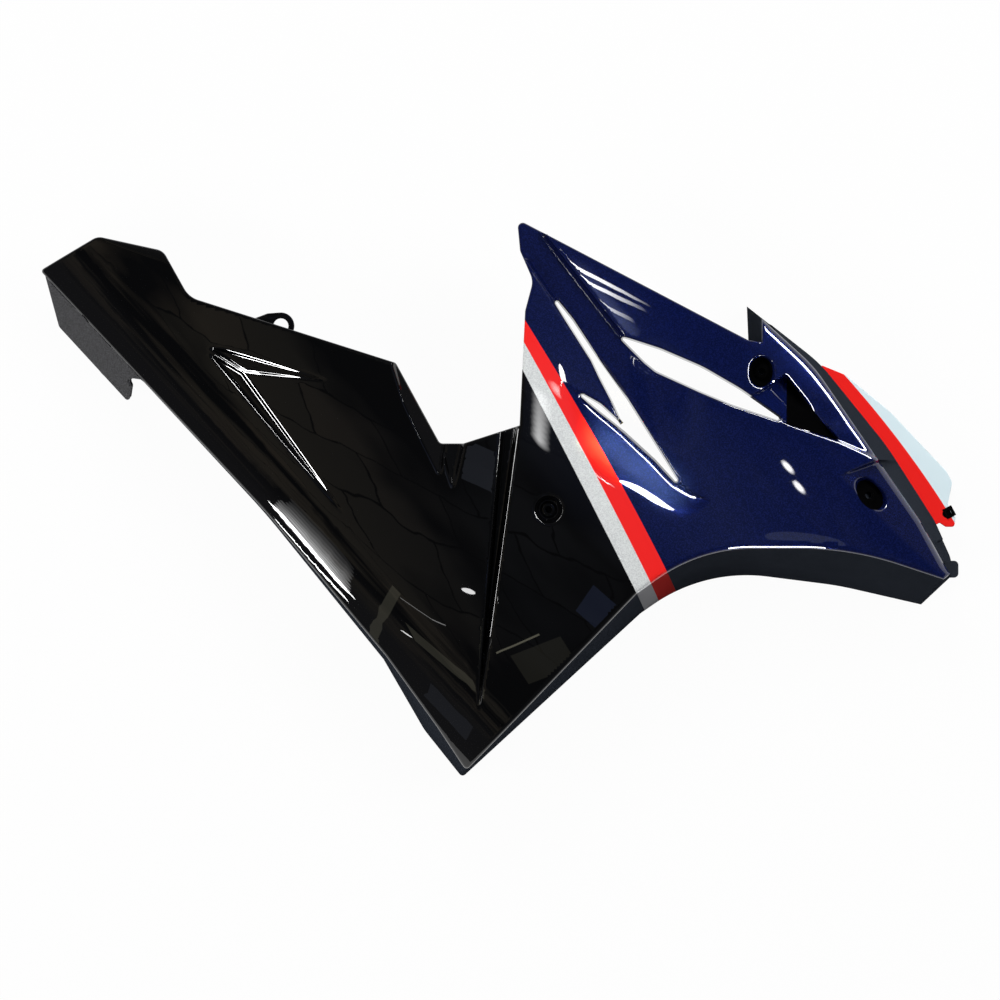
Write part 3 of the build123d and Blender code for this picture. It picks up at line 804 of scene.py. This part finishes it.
class Tone:
    """A socket of a material that can be used in sums."""

    def __init__(self, tree, socket=None):
        self.tree = tree
        self.socket = socket

    def make(self, kind, inputs, output=0, **settings):
        """Adds a node of a type, with its settings first and then its sockets."""
        node = self.tree.nodes.new(kind)
        for name, value in settings.items():
            setattr(node, name, value)
        fill(node, inputs)
        return Tone(self.tree, node.outputs[output])

    def sum(self, operation, first, second):
        """Math node on two values."""
        return self.make("ShaderNodeMath", {0: first, 1: second}, operation=operation)

    def __add__(self, other):
        return self.sum("ADD", self, other)

    def __sub__(self, other):
        return self.sum("SUBTRACT", self, other)

    def __rsub__(self, other):
        return self.sum("SUBTRACT", other, self)

    def __mul__(self, other):
        return self.sum("MULTIPLY", self, other)

    __radd__ = __add__
    __rmul__ = __mul__

    def above(self, level, blur):
        """Mask that goes from 0 to 1 where the value passes a level."""
        ends = {1: level - blur / 2, 2: level + blur / 2, 3: 0.0, 4: 1.0}
        return self.make("ShaderNodeMapRange", {0: self, **ends})

    def blend(self, low, high):
        """Colour that goes from one to another with this mask."""
        return self.make("ShaderNodeMix", {0: self, 6: low, 7: high}, 2, data_type="RGBA")


def new_finish(name):
    """Empty material, its shader node and the surface's object coordinates."""
    material = bpy.data.materials.new(name)
    material.use_nodes = True
    tree = material.node_tree
    shader = tree.nodes["Principled BSDF"]
    place = Tone(tree).make("ShaderNodeTexCoord", {}, "Object")
    return material, shader, place


def feed(shader, **values):
    """Fills the shader's sockets by their names."""
    fill(shader, {name.replace("_", " "): value for name, value in values.items()})


def noise(place, scale, detail, roughness=0.5):
    """Noise over the surface."""
    inputs = {"Vector": place, "Scale": scale, "Detail": detail, "Roughness": roughness}
    return place.make("ShaderNodeTexNoise", inputs)


def bump(height, strength, distance):
    """Fine relief from a height."""
    return height.make("ShaderNodeBump", {"Strength": strength, "Distance": distance, "Height": height})


def plan_of(place):
    """Plan coordinates of the surface in millimetres."""
    split = place.make("ShaderNodeSeparateXYZ", {0: place})
    return split * (1 / MM), Tone(place.tree, split.socket.node.outputs[1]) * (1 / MM)


print("socket class", Tone.__name__)

# %% [markdown]
# ## Panel paint
# The shell is sprayed black at the back and metallic dark blue at the front, with a silver and a red stripe
# between them, all under one clear coat. The stripes could be a picture, but each edge is nearly a straight
# line in the plan, so a curve through a few measured points places it exactly. Black is painted into two
# bolt recesses and the scoop as the shade that falls in them, and the mouth of the scoop has no gloss.

# %% Paint of the shell
STRIPE_EDGES = {
    "black_silver": (-3.794e-05, -0.50846, 45.74),
    "silver_red": (-1.4211e-04, -0.51387, 65.12),
    "red_blue": (-2.4941e-04, -0.53291, 86.14),
}
STRIPE_BLUR = 0.7
# Ovals and sides of the painted shade in two bolt recesses and the scoop.
PAINTED_SHADE_OVALS = [((212.5, 137.5), (15.0, 12.0), 1.5), ((321.5, 14.5), (17.0, 11.0), -0.9)]
MOUTH_SIDES = [(0.52, -0.854, -8.7), (-1.0, 0.02, 236.0), (0.575, 0.818, -207.0)]
SCOOP_SHADE_SIDES = [(1.0, -0.02, -236.0), (-0.787, -0.617, 270.0), (0.3, 0.954, -152.5)]


def past(x, y, edge):
    """Mask of what lies in front of a curved edge."""
    square, slope, start = edge
    return (x - (y * y * square + y * slope + start)).above(0.0, STRIPE_BLUR)


def stripe_masks(x, y):
    """Masks of what lies in front of each stripe edge."""
    return {name: past(x, y, edge) for name, edge in STRIPE_EDGES.items()}


def within(x, y, sides):
    """Mask of the inside of a shape with straight sides."""
    mask = 1.0
    for a, b, c in sides:
        mask = mask * (x * a + y * b + c).above(0.0, STRIPE_BLUR)
    return mask


def painted_shade_mask(x, y):
    """Mask of painted shade: black painted into the scoop and two bolt recesses, where shade falls."""
    dark = within(x, y, SCOOP_SHADE_SIDES)
    for (a, b), (long, wide), turn in PAINTED_SHADE_OVALS:
        near = (x - a) * (math.cos(turn) / long) + (y - b) * (math.sin(turn) / long)
        far = (y - b) * (math.cos(turn) / wide) - (x - a) * (math.sin(turn) / wide)
        dark = dark + (1.0 - near * near - far * far).above(0.0, 0.1)
    return dark


BLACK = (0.0018, 0.0018, 0.002, 1)
SILVER = (0.86, 0.89, 0.88, 1)
RED = (0.95, 0.021, 0.018, 1)
BLUE = (0.0022, 0.0050, 0.036, 1)
BLUE_FLAKE = (0.0060, 0.0115, 0.085, 1)
SILVER_SHADE = (0.66, 0.68, 0.68, 1)
MOUTH_MATTE = 0.95
WAVE_HEIGHT = 0.00008
PEEL_HEIGHT = 0.0000006

paint, shader, place = new_finish("panel_clear_coat_paint")
x, y = plan_of(place)
masks = stripe_masks(x, y)
dark = painted_shade_mask(x, y)
flake = place.make("ShaderNodeTexVoronoi", {"Vector": place, "Scale": 1100.0}, "Color")
sparkle = flake.make("ShaderNodeSeparateColor", {0: flake})
colour = masks["black_silver"].blend(BLACK, sparkle.blend(SILVER_SHADE, SILVER))
colour = masks["silver_red"].blend(colour, RED)
colour = masks["red_blue"].blend(colour, (sparkle * sparkle).blend(BLUE, BLUE_FLAKE))
# Painted shade: black over the scoop and two bolt recesses, where shade falls in them, with no clear coat
# there.
colour = dark.blend(colour, BLACK)
silver_only = masks["black_silver"] - masks["silver_red"]
gloss = 1.0 - dark - within(x, y, MOUTH_SIDES) * MOUTH_MATTE
metal = silver_only * 0.1 + masks["red_blue"] * 0.14 * gloss
rough = 0.5 - masks["red_blue"] * 0.13 - silver_only * 0.1
ripple = noise(place, 22.0, 1.0) * WAVE_HEIGHT + noise(place, 420.0, 1.0) * PEEL_HEIGHT
feed(
    shader, Base_Color=colour, Metallic=metal, Roughness=rough, Coat_Weight=gloss, Coat_Roughness=0.015,
    Coat_IOR=1.5, Specular_IOR_Level=0.0, Normal=bump(ripple, 1.0, 1.0),
)
print("paint nodes", len(paint.node_tree.nodes))

# %% [markdown]
# ## Raw plastic
# The flanges and the back were never painted: they show the dark grey plastic with the fine grain of the
# tool. Where the stripes meet the wheel arch, a thin mist of their colour reaches over the edge.

# %% Raw plastic of the flanges
RAW_DARK = (0.015, 0.018, 0.024, 1)
RAW_LIGHT = (0.036, 0.042, 0.054, 1)
SILVER_MIST = (0.30, 0.30, 0.31, 1)
RED_MIST = (0.36, 0.025, 0.022, 1)
BACK_DARK = (0.018, 0.018, 0.019, 1)
BACK_LIGHT = (0.04, 0.04, 0.042, 1)
PIT_DARK = (0.005, 0.005, 0.006, 1)
PIT_LIGHT = (0.062, 0.062, 0.070, 1)

raw, shader, place = new_finish("raw_grained_plastic")
masks = stripe_masks(*plan_of(place))
grain = noise(place, 900.0, 3.0, 0.7)
plastic = (grain * 0.6 + noise(place, 30.0, 3.0) * 0.4).blend(RAW_DARK, RAW_LIGHT)
mist = (masks["black_silver"] - masks["silver_red"]).blend(plastic, SILVER_MIST)
mist = (masks["silver_red"] - masks["red_blue"]).blend(mist, RED_MIST)
relief = bump(grain, 0.3, 0.0004)
feed(shader, Base_Color=mist, Roughness=0.62 + grain * 0.2, Specular_IOR_Level=0.0, Normal=relief)

back, shader, place = new_finish("moulded_back_plastic")
grain = noise(place, 700.0, 3.0, 0.7)
plastic = grain.blend(BACK_DARK, BACK_LIGHT)
relief = bump(grain, 0.25, 0.0004)
feed(shader, Base_Color=plastic, Roughness=0.55 + grain * 0.2, Specular_IOR_Level=0.25, Normal=relief)

coarse, shader, place = new_finish("coarse_grained_tail_plastic")
pits = noise(place, 700.0, 4.0, 0.8)
speck = pits.above(0.52, 0.14).blend(PIT_DARK, PIT_LIGHT)
feed(shader, Base_Color=speck, Roughness=0.55, Specular_IOR_Level=0.3, Normal=bump(pits, 0.6, 0.001))
print("raw finishes", raw.name, back.name, coarse.name)

# %% [markdown]
# ## Nose paint and steel
# The nose panel is red next to the flange and a cool white outside, with one clean line between them. The
# hole in its tab is not cut: black is painted there, as the shade seen through a hole. The screws are
# zinc-plated steel and the clip nut is blackened spring steel, both with fine drawn marks.

# %% Nose paint and metals
NOSE_WHITE = (0.80, 0.95, 1.0, 1)
NOSE_SHADE = (0.76, 0.91, 0.96, 1)
NOSE_SPLIT = (-0.0009801, -0.62755, 399.69)
nose_paint, shader, place = new_finish("nose_two_tone_paint")
x, y = plan_of(place)
clip_x, clip_y = (float(value) for value in mounts["nose_clip"][:2])
# Painted shade: a black disc on the tab where its hole is, standing for the shade seen through it.
painted_hole_shade = (20.0 - (x - clip_x) * (x - clip_x) - (y - clip_y) * (y - clip_y)).above(0.0, 4.0)
haze = noise(place, 40.0, 2.0)
two_tone = past(x, y, NOSE_SPLIT).blend(RED, haze.blend(NOSE_SHADE, NOSE_WHITE))
feed(
    shader, Base_Color=painted_hole_shade.blend(two_tone, BLACK), Roughness=0.45 + haze * 0.1, Specular_IOR_Level=0.0,
    Normal=bump(noise(place, 420.0, 1.0), 0.2, 0.00002),
)


def drawn_steel(name, dark, light, roughness):
    """Steel with fine drawn marks."""
    steel, shader, place = new_finish(name)
    marks = noise(place, 600.0, 3.0)
    feed(
        shader, Base_Color=marks.blend(dark, light), Metallic=1.0, Roughness=roughness + marks * 0.15,
        Normal=bump(marks, 0.15, 0.0002),
    )
    return steel


zinc = drawn_steel("zinc_plated_steel", (0.38, 0.38, 0.39, 1), (0.56, 0.56, 0.55, 1), 0.3)
spring = drawn_steel("blackened_spring_steel", (0.012, 0.012, 0.012, 1), (0.03, 0.03, 0.03, 1), 0.35)


def dress(piece, *finishes):
    """Puts finishes in a piece's slots, in order."""
    slots = piece.data.materials
    for number, finish in enumerate(finishes):
        if number < len(slots):
            slots[number] = finish
        else:
            slots.append(finish)


dress(shell, paint, raw, back)
dress(nose, nose_paint, back, back)
dress(tail_flange, coarse, coarse, coarse)
dress(rear_lug, paint, paint, back)
dress(front_lug, raw, back, back)
dress(screws, zinc)
dress(clip, spring)
print("finishes", len(bpy.data.materials))

# %% [markdown]
# ## Floor, camera and light
# The photograph looks straight down on a white ground, so the camera hangs far above the panel and the
# picture spans one metre. The floor is plain white to the camera and to reflections, and keeps a faint
# shadow.

# %% Floor and camera
GROUND_GAP = 0.0003
GROUND_GLOW = 0.96
bpy.ops.mesh.primitive_plane_add(size=60, location=(0, 0, FLOOR * MM - GROUND_GAP))
ground = bpy.context.object
ground.name = "ground"
white, shader, place = new_finish("white_ground")
feed(shader, Base_Color=(0.85, 0.85, 0.85, 1), Roughness=1.0, Specular_IOR_Level=0.0)
lit = place.make("ShaderNodeEmission", {"Color": (1, 1, 1, 1), "Strength": 1.0})
rays = ("Is Camera Ray", "Is Glossy Ray", "Is Transmission Ray")
camera_ray, glossy_ray, transmission_ray = (place.make("ShaderNodeLightPath", {}, name) for name in rays)
seen = camera_ray + glossy_ray + transmission_ray
share = seen.sum("MINIMUM", seen * GROUND_GLOW, GROUND_GLOW)
mixed = place.make("ShaderNodeMixShader", {0: share, 1: Tone(place.tree, shader.outputs[0]), 2: lit})
place.tree.links.new(mixed.socket, white.node_tree.nodes["Material Output"].inputs["Surface"])
dress(ground, white)

CENTRE = Vector((-0.0485, 0.0095, 0.0))
CAMERA_HEIGHT = 20.0
PICTURE_LEVEL = -0.03
SENSOR = 36.0
camera_data = bpy.data.cameras.new("camera")
camera_data.sensor_width = SENSOR
camera_data.lens = SENSOR * (CAMERA_HEIGHT - PICTURE_LEVEL)
camera_data.clip_end = 100
camera = bpy.data.objects.new("camera", camera_data)
camera.location = CENTRE + Vector((0, 0, CAMERA_HEIGHT))
bpy.context.scene.collection.objects.link(camera)
bpy.context.scene.camera = camera
bpy.context.scene.view_settings.view_transform = "Standard"
print("camera", tuple(camera.location))

# %% [markdown]
# ## Light by reflection
# Gloss paint shows its lamps. Where a bright streak lies on the face, the lamp stands where a ray from the
# camera goes after it bounces there. So each strip lamp is placed from two points of the picture that it
# should show in. A thin bright edge shows a low lamp close beside it, which leans back so that the flat
# face doesn't see it.


# %% Lamp makers
FAR = 3.0
NEAR = 0.4
PICTURE_X = 548.5
PICTURE_Y = 509.5
GLOW_SIZE = 12
UP = Vector((0, 0, 1))
WHITE = (1, 1, 1)


def bounce(px, py):
    """Direction in which the crown sends the camera's ray at a picture point."""
    x = px - PICTURE_X
    y = PICTURE_Y - py
    step = 2.0
    heights = crown(np.array([x + step, x - step, x, x]), np.array([y, y, y + step, y - step]))
    normal = Vector((heights[1] - heights[0], heights[3] - heights[2], 2 * step)).normalized()
    return 2 * normal.z * normal - UP


def lamp(name, ends, width, radiance, target, tint=WHITE, gloss=True):
    """Rectangular lamp between two points, facing a target; it shows only in gloss, or only lights."""
    span = ends[1] - ends[0]
    middle = (ends[0] + ends[1]) / 2
    x_axis = span.normalized()
    z_axis = (middle - target).normalized()
    z_axis = (z_axis - x_axis * z_axis.dot(x_axis)).normalized()
    data = bpy.data.lights.new(name, "AREA")
    data.shape = "RECTANGLE"
    data.size = span.length
    data.size_y = width
    data.energy = radiance * math.pi * span.length * width
    data.color = tint
    piece = bpy.data.objects.new(name, data)
    turned = Matrix((x_axis, z_axis.cross(x_axis), z_axis)).transposed()
    piece.matrix_world = Matrix.Translation(middle) @ turned.to_4x4()
    piece.visible_camera = False
    piece.visible_glossy = gloss
    piece.visible_diffuse = not gloss
    bpy.context.scene.collection.objects.link(piece)
    return piece


def on_face(px, py):
    """Point of the face under a picture point."""
    x = px - PICTURE_X
    y = PICTURE_Y - py
    z = float(face_height(np.array([x]), np.array([y]))[0])
    return Vector((x, y, z)) * MM


def aimed(piece, beam):
    """Narrows a lamp's beam to a half angle in degrees and keeps its radiance straight on."""
    half = math.radians(beam)
    piece.data.spread = 2 * half
    piece.data.energy *= (math.tan(half) - half) / math.tan(half)


def streak(name, spots, width, radiance, distance=NEAR, shape="RECTANGLE", tint=WHITE, beam=None):
    """Strip lamp that shows in the face between two picture points."""
    ends = [on_face(*spot) + bounce(*spot) * distance for spot in spots]
    target = (on_face(*spots[0]) + on_face(*spots[1])) / 2
    strip = lamp(name, ends, width * MM, radiance, target, tint)
    strip.data.shape = shape
    if beam:
        aimed(strip, beam)


def glow(name, spot, reach, radiance, tint):
    """Soft patch round a picture point, from a wide lamp with a narrow beam."""
    target = on_face(*spot)
    way = bounce(*spot)
    size = GLOW_SIZE * reach * MM
    side = way.cross(UP).normalized() * size / 2
    middle = target + way * NEAR
    piece = lamp(name, (middle - side, middle + side), size, radiance, target, tint)
    aimed(piece, math.degrees(2 * reach / ACROSS_RADIUS))


def fence(name, start, end, gap, low, high, radiance, lean=25.0):
    """Lamp that leans back to the left of a line of the picture, between two heights."""
    a = on_face(*start)
    b = on_face(*end)
    run = (b - a).xy.normalized()
    left = Vector((-run.y, run.x, 0))
    slope = math.tan(math.radians(lean))
    rise = (low + high) / 2
    shift = left * (gap + slope * (high - low) / 2) * MM + UP * rise * MM
    tall = (high - low) / math.cos(math.radians(lean)) * MM
    facing = -left * math.cos(math.radians(lean)) + UP * math.sin(math.radians(lean))
    ends = (a + shift, b + shift)
    lamp(name, ends, tall, radiance, (ends[0] + ends[1]) / 2 + facing)


print("lamps stand", NEAR, "or", FAR, "metres away")

# %% [markdown]
# ## Room around the panel
# Three large soft boxes give the plain light. They are kept out of reflections, because their edges would
# show as grey bands on black gloss. Low strips beside the edges and thin tubes overhead show in the gloss
# instead. The dim ceiling has dark seams, which the black paint mirrors.

# %% Soft boxes and edge lamps
BOX_RISE = math.radians(39)
BOX_HALF_BREADTH = math.radians(22)
BOX_HALF_HEIGHT = math.radians(9)
for name, azimuth in (("left_box", 200), ("right_box", 20), ("top_box", 100)):
    turn = math.radians(azimuth)
    flat = Vector((math.cos(turn), math.sin(turn), 0)) * math.cos(BOX_RISE)
    middle = CENTRE + (flat + UP * math.sin(BOX_RISE)) * FAR
    side = Vector((-flat.y, flat.x, 0)) * FAR * math.tan(BOX_HALF_BREADTH)
    tall = 2 * FAR * math.tan(BOX_HALF_HEIGHT)
    lamp(name, (middle - side, middle + side), tall, 7.7, CENTRE, gloss=False)
fence("arrow_left", (209, 352), (347, 518), 24, 1.6, 12, 60)
fence("arrow_right", (349, 521), (240, 370), 20, 2, 10, 90, 42)
fence("arrow_top", (330, 381), (221, 349), 25, 2, 10, 90, 40)
fence("arrow_foot", (244, 371), (330, 381), 20, 1.5, 10, 60)
fence("groove_right", (488, 640), (518, 426), 20, 2, 12, 30, 40)
fence("lip_near", (592, 404), (694, 500), 15, 7, 25, 60, 42)
fence("lip_far", (604, 473), (690, 516), 15, 5.4, 24, 60, 42)
fence("fin_edge", (762, 322), (874, 455), 14, 5.6, 15, 60, 5)
fence("scoop_edge", (838, 441), (787, 376), 14, 2, 12, 60, 40)
fence("arch_edge", (832, 552), (738, 549), 25, 0, 19, 60, 0)
print("boxes and edge lamps", len(bpy.data.lights))

# %% Tubes and glows
OLIVE = (0.62, 0.60, 0.45)
SLATE = (0.40, 0.45, 0.58)
NAVY = (0.25, 0.35, 0.75)
SKY = (0.42, 0.52, 1.0)
LIFT = UP * 0.045
for name, spots in (
    ("blade_tube_upper", [(548, 253), (656, 307)]),
    ("blade_tube_middle", [(564, 271), (662, 317)]),
    ("blade_tube_lower", [(592, 300), (666, 335)]),
):
    streak(name, spots, 6, 50, shape="ELLIPSE", beam=8)
for name, spot, reach, radiance, tint in (
    ("blade_glow_upper", (592, 280), 14, 2.4, SKY), ("blade_glow_lower", (622, 316), 13, 2.4, SKY),
    ("red_blob_upper", (556, 386), 5, 14, WHITE), ("red_blob", (608, 476), 5, 50, WHITE),
    ("front_blob_upper", (799, 472), 3.6, 50, WHITE), ("front_blob_lower", (811, 493), 3.6, 50, WHITE),
    ("sky_wash", (640, 440), 110, 0.3, SKY),
    *((f"blob_{y}", (541, y), 5, 5.0 + 0.12 * (y - 392), WHITE) for y in range(392, 442, 6)),
):
    glow(name, spot, reach, radiance, tint)
streak("arch_glare", [(768, 537), (850, 546)], 24, 0.7, shape="ELLIPSE", tint=SLATE)
lip_ends = (on_face(600, 432) + LIFT, on_face(676, 496) + LIFT)
aimed(lamp("lip_light", lip_ends, 0.015, 350, on_face(638, 464), (1.0, 0.83, 0.34), gloss=False), 32)
streak("stripe_tip", [(566, 387), (560, 362)], 8, 25, shape="ELLIPSE")
streak("belly_tube_inner", [(270, 502), (345, 590)], 110, 60, FAR)
streak("belly_tube_outer", [(268, 516), (345, 598)], 80, 60, FAR)
for step, radiance in enumerate((4.5, 4.0, 3.0, 2.0, 1.2, 0.7, 0.4, 0.2)):
    spots = [(269 + 2.2 * step, 501 - 1.3 * step), (347 + 0.3 * step, 590 - 3.5 * step)]
    streak(f"belly_glow_{step}", spots, 230, radiance, FAR, shape="ELLIPSE")
streak("shelf_post", [(396, 590), (372, 640)], 16, 0.75, tint=OLIVE)
streak("shelf_board", [(410, 632), (478, 690)], 45, 0.70, tint=OLIVE)
streak("shelf_shade", [(430, 692), (470, 735)], 120, 0.30, tint=SLATE)
streak("shelf_right", [(520, 672), (570, 652)], 45, 0.28, tint=OLIVE)
streak("shelf_line", [(400, 598), (444, 628)], 2, 4)
streak("shelf_line_right", [(497, 655), (540, 636)], 2.5, 3, tint=OLIVE)
streak("shelf_glint", [(401, 631), (412, 638)], 4, 14, shape="ELLIPSE")
streak("bulb", [(461, 590), (475, 594)], 8, 14, shape="ELLIPSE")
streak("notch_glare", [(482, 446), (478, 486)], 55, 0.5, tint=SLATE)
streak("sky_glare", [(588, 622), (606, 596)], 40, 0.45, tint=NAVY)
print("lamps", len(bpy.data.lights))

# %% Room
world = bpy.data.worlds.new("studio")
bpy.context.scene.world = world
world.use_nodes = True
sky = world.node_tree.nodes["Background"]
room = Tone(world.node_tree).make("ShaderNodeTexCoord", {}, "Generated")
up = room.make("ShaderNodeSeparateXYZ", {0: room}, 2)
west = 0.0 - room.make("ShaderNodeSeparateXYZ", {0: room})
lift = up.sum("MAXIMUM", up, 0.2)
flat = room.make("ShaderNodeVectorMath", {0: room, 1: lift}, operation="DIVIDE")
sag = room.make("ShaderNodeTexNoise", {"Vector": flat, "Scale": 5.0, "Detail": 4.0}, "Color")
wavy = sag.make("ShaderNodeVectorMath", {0: sag, 1: (0.12, 0.12, 0), 2: flat}, operation="MULTIPLY_ADD")
SEAMS = {"Scale": 4.6, "Mortar Size": 0.007, "Mortar Smooth": 0.3, "Brick Width": 0.5, "Row Height": 0.35}


def tiled(light, dark, seam):
    """Ceiling of two tones with sagging seams."""
    colours = {"Color1": light, "Color2": dark, "Mortar": seam}
    return wavy.make("ShaderNodeTexBrick", {"Vector": wavy, **colours, **SEAMS})


cool_tiles = tiled((0.08, 0.085, 0.095, 1), (0.05, 0.055, 0.065, 1), (0.01, 0.01, 0.012, 1))
warm_tiles = tiled((0.30, 0.25, 0.19, 1), (0.22, 0.20, 0.16, 1), (0.03, 0.03, 0.03, 1))
ceiling = west.above(0.26, 0.3).blend(cool_tiles, warm_tiles)
ceiling = noise(flat, 4.0, 3.0).above(0.5, 0.12).blend((0.02, 0.022, 0.026, 1), ceiling)
room_tone = up.above(0.62, 0.3).blend((0.10, 0.10, 0.11, 1), ceiling)
world.node_tree.links.new(room_tone.socket, sky.inputs["Color"])
print("room nodes", len(world.node_tree.nodes))
